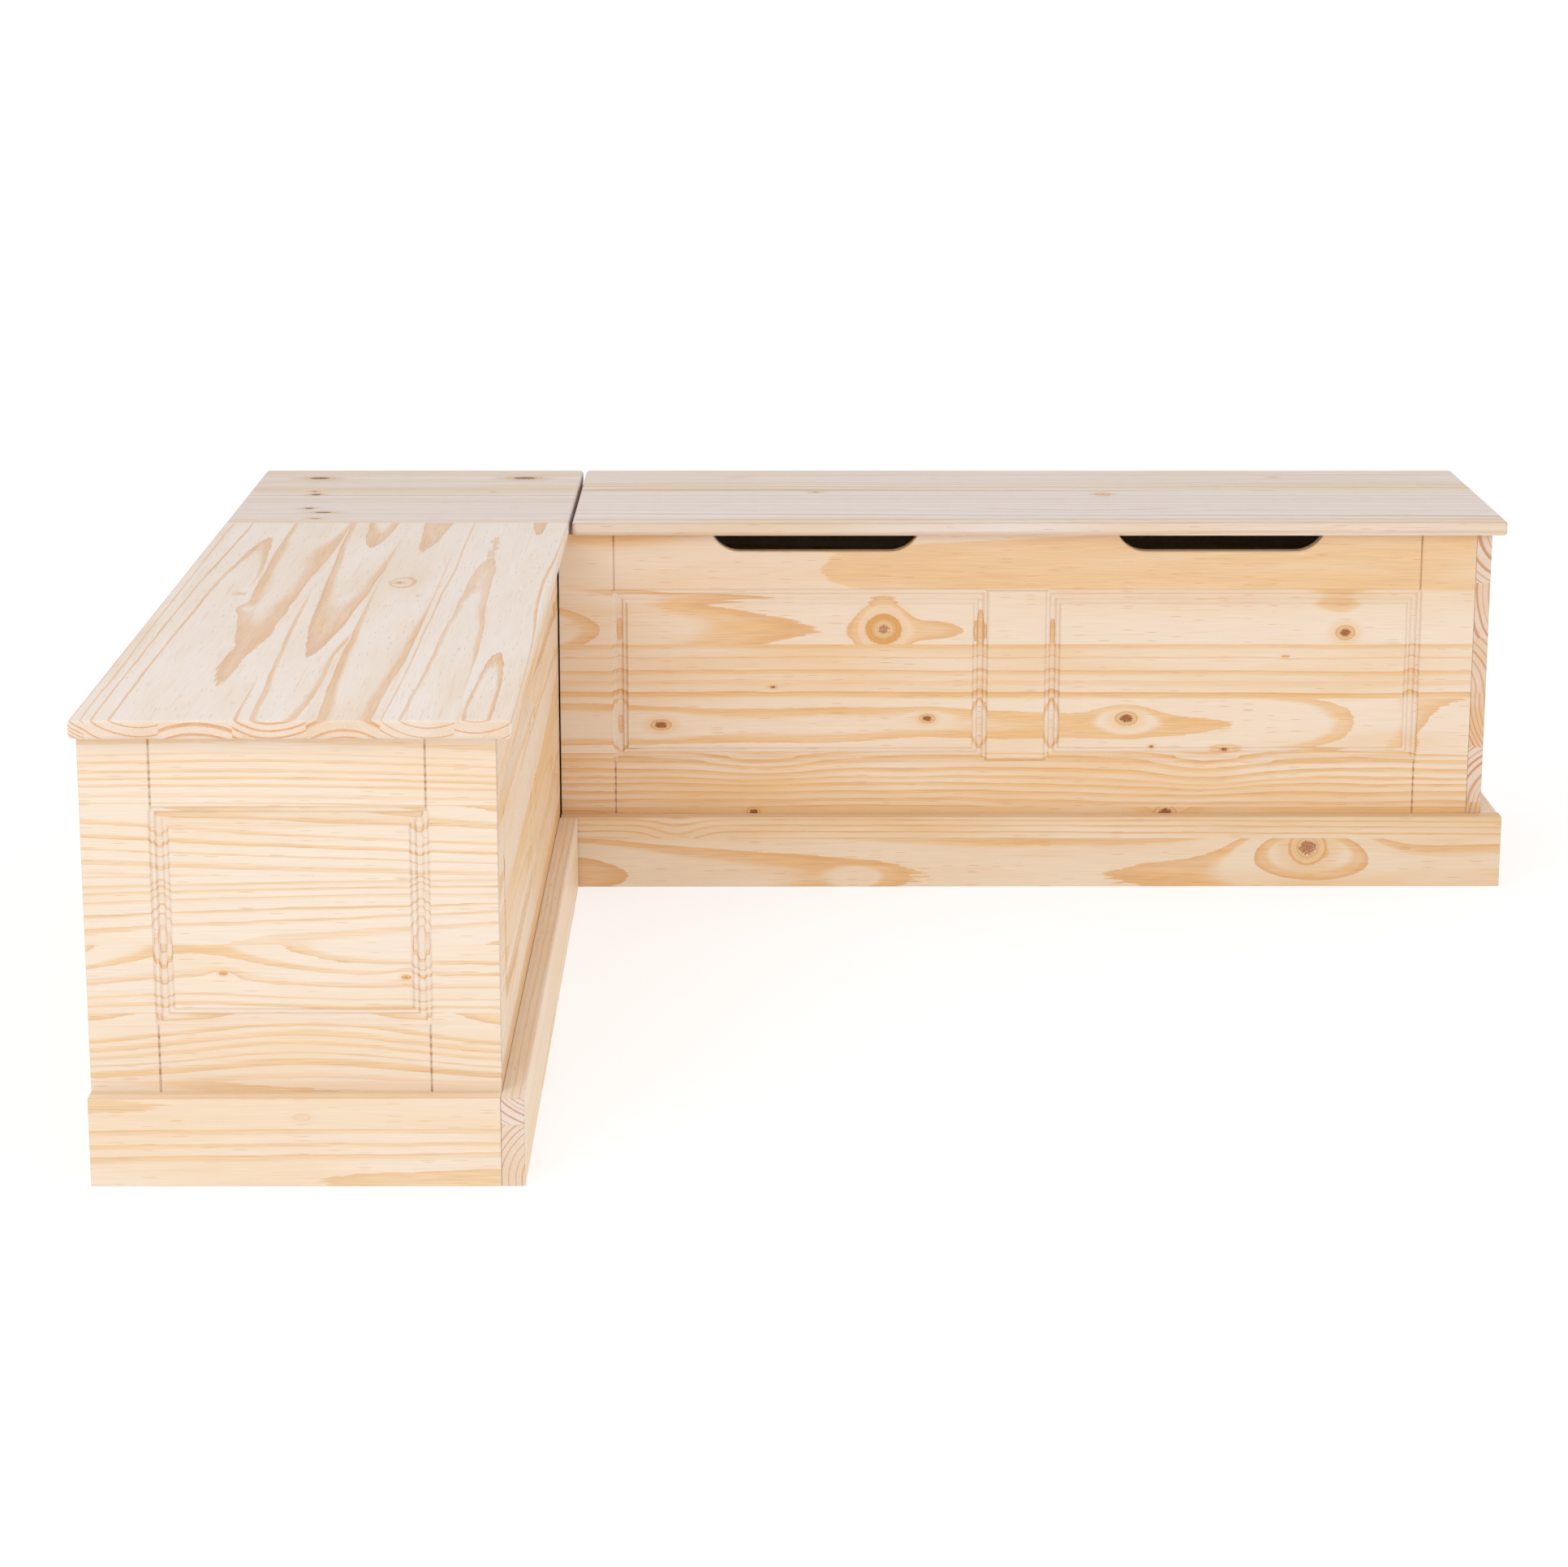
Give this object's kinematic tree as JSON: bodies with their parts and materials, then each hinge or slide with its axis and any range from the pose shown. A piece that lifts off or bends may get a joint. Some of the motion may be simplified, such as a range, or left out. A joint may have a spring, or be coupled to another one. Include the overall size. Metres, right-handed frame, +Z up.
{
  "type": "corner storage bench",
  "caption": "L-shaped corner storage bench in solid pine, with hinged seat lids over chests, a fixed corner seat, raised-panel fronts, finger holds and plinths.",
  "frame": {"origin": "on the floor, under the middle of the overall box", "axes": "+Z up, -Y towards a viewer who faces the right chest's front, +X towards that chest's free end; the left chest's free end faces -Y and its front faces +X"},
  "size_m": [1.5788, 1.5788, 0.46],
  "materials": {
    "front_pine": "satin",
    "top_pine": "satin",
    "inner_pine": "satin",
    "zinc_steel": "satin"
  },
  "bodies": {
    "bench": {"left_front_panel": "front_pine", "left_outer_end_panel": "front_pine", "left_back_panel": "inner_pine", "left_inner_end_panel": "inner_pine", "left_back_cleat": "inner_pine", "left_front_cleat": "inner_pine", "left_floor_board": "inner_pine", "left_front_plinth": "front_pine", "left_end_plinth": "front_pine", "left_hinge_1_body_leaf": "zinc_steel", "left_hinge_1_pin": "zinc_steel", "left_hinge_2_body_leaf": "zinc_steel", "left_hinge_2_pin": "zinc_steel", "left_hinge_3_body_leaf": "zinc_steel", "left_hinge_3_pin": "zinc_steel", "left_joining_bolt_1": "zinc_steel", "left_sleeve_nut_1": "zinc_steel", "left_joining_bolt_2": "zinc_steel", "left_sleeve_nut_2": "zinc_steel", "right_front_panel": "front_pine", "right_outer_end_panel": "front_pine", "right_back_panel": "inner_pine", "right_inner_end_panel": "inner_pine", "right_back_cleat": "inner_pine", "right_front_cleat": "inner_pine", "right_floor_board": "inner_pine", "right_front_plinth": "front_pine", "right_end_plinth": "front_pine", "right_hinge_1_body_leaf": "zinc_steel", "right_hinge_1_pin": "zinc_steel", "right_hinge_2_body_leaf": "zinc_steel", "right_hinge_2_pin": "zinc_steel", "right_hinge_3_body_leaf": "zinc_steel", "right_hinge_3_pin": "zinc_steel", "right_joining_bolt_1": "zinc_steel", "right_sleeve_nut_1": "zinc_steel", "right_joining_bolt_2": "zinc_steel", "right_sleeve_nut_2": "zinc_steel", "corner_left_wall_panel": "inner_pine", "corner_back_wall_panel": "inner_pine", "corner_left_chest_side_panel": "inner_pine", "corner_right_chest_side_panel": "inner_pine", "corner_top_left_cleat": "inner_pine", "corner_top_right_cleat": "inner_pine", "corner_top": "top_pine"},
    "left_lid_assembly": {"left_lid": "top_pine", "left_lid_batten_outer": "inner_pine", "left_lid_batten_inner": "inner_pine", "left_hinge_1_lid_leaf": "zinc_steel", "left_hinge_2_lid_leaf": "zinc_steel", "left_hinge_3_lid_leaf": "zinc_steel"},
    "right_lid_assembly": {"right_lid": "top_pine", "right_lid_batten_outer": "inner_pine", "right_lid_batten_inner": "inner_pine", "right_hinge_1_lid_leaf": "zinc_steel", "right_hinge_2_lid_leaf": "zinc_steel", "right_hinge_3_lid_leaf": "zinc_steel"}
  },
  "joints": [
    {"name": "left_lid_hinge", "type": "hinge", "parent": "bench", "child": "left_lid_assembly", "pos_m": [-0.7864, -0.1916, 0.44185], "axis": [0, -1, 0], "range_deg": [0, 95]},
    {"name": "right_lid_hinge", "type": "hinge", "parent": "bench", "child": "right_lid_assembly", "pos_m": [0.1916, 0.7864, 0.44185], "axis": [-1, 0, 0], "range_deg": [0, 95]}
  ]
}
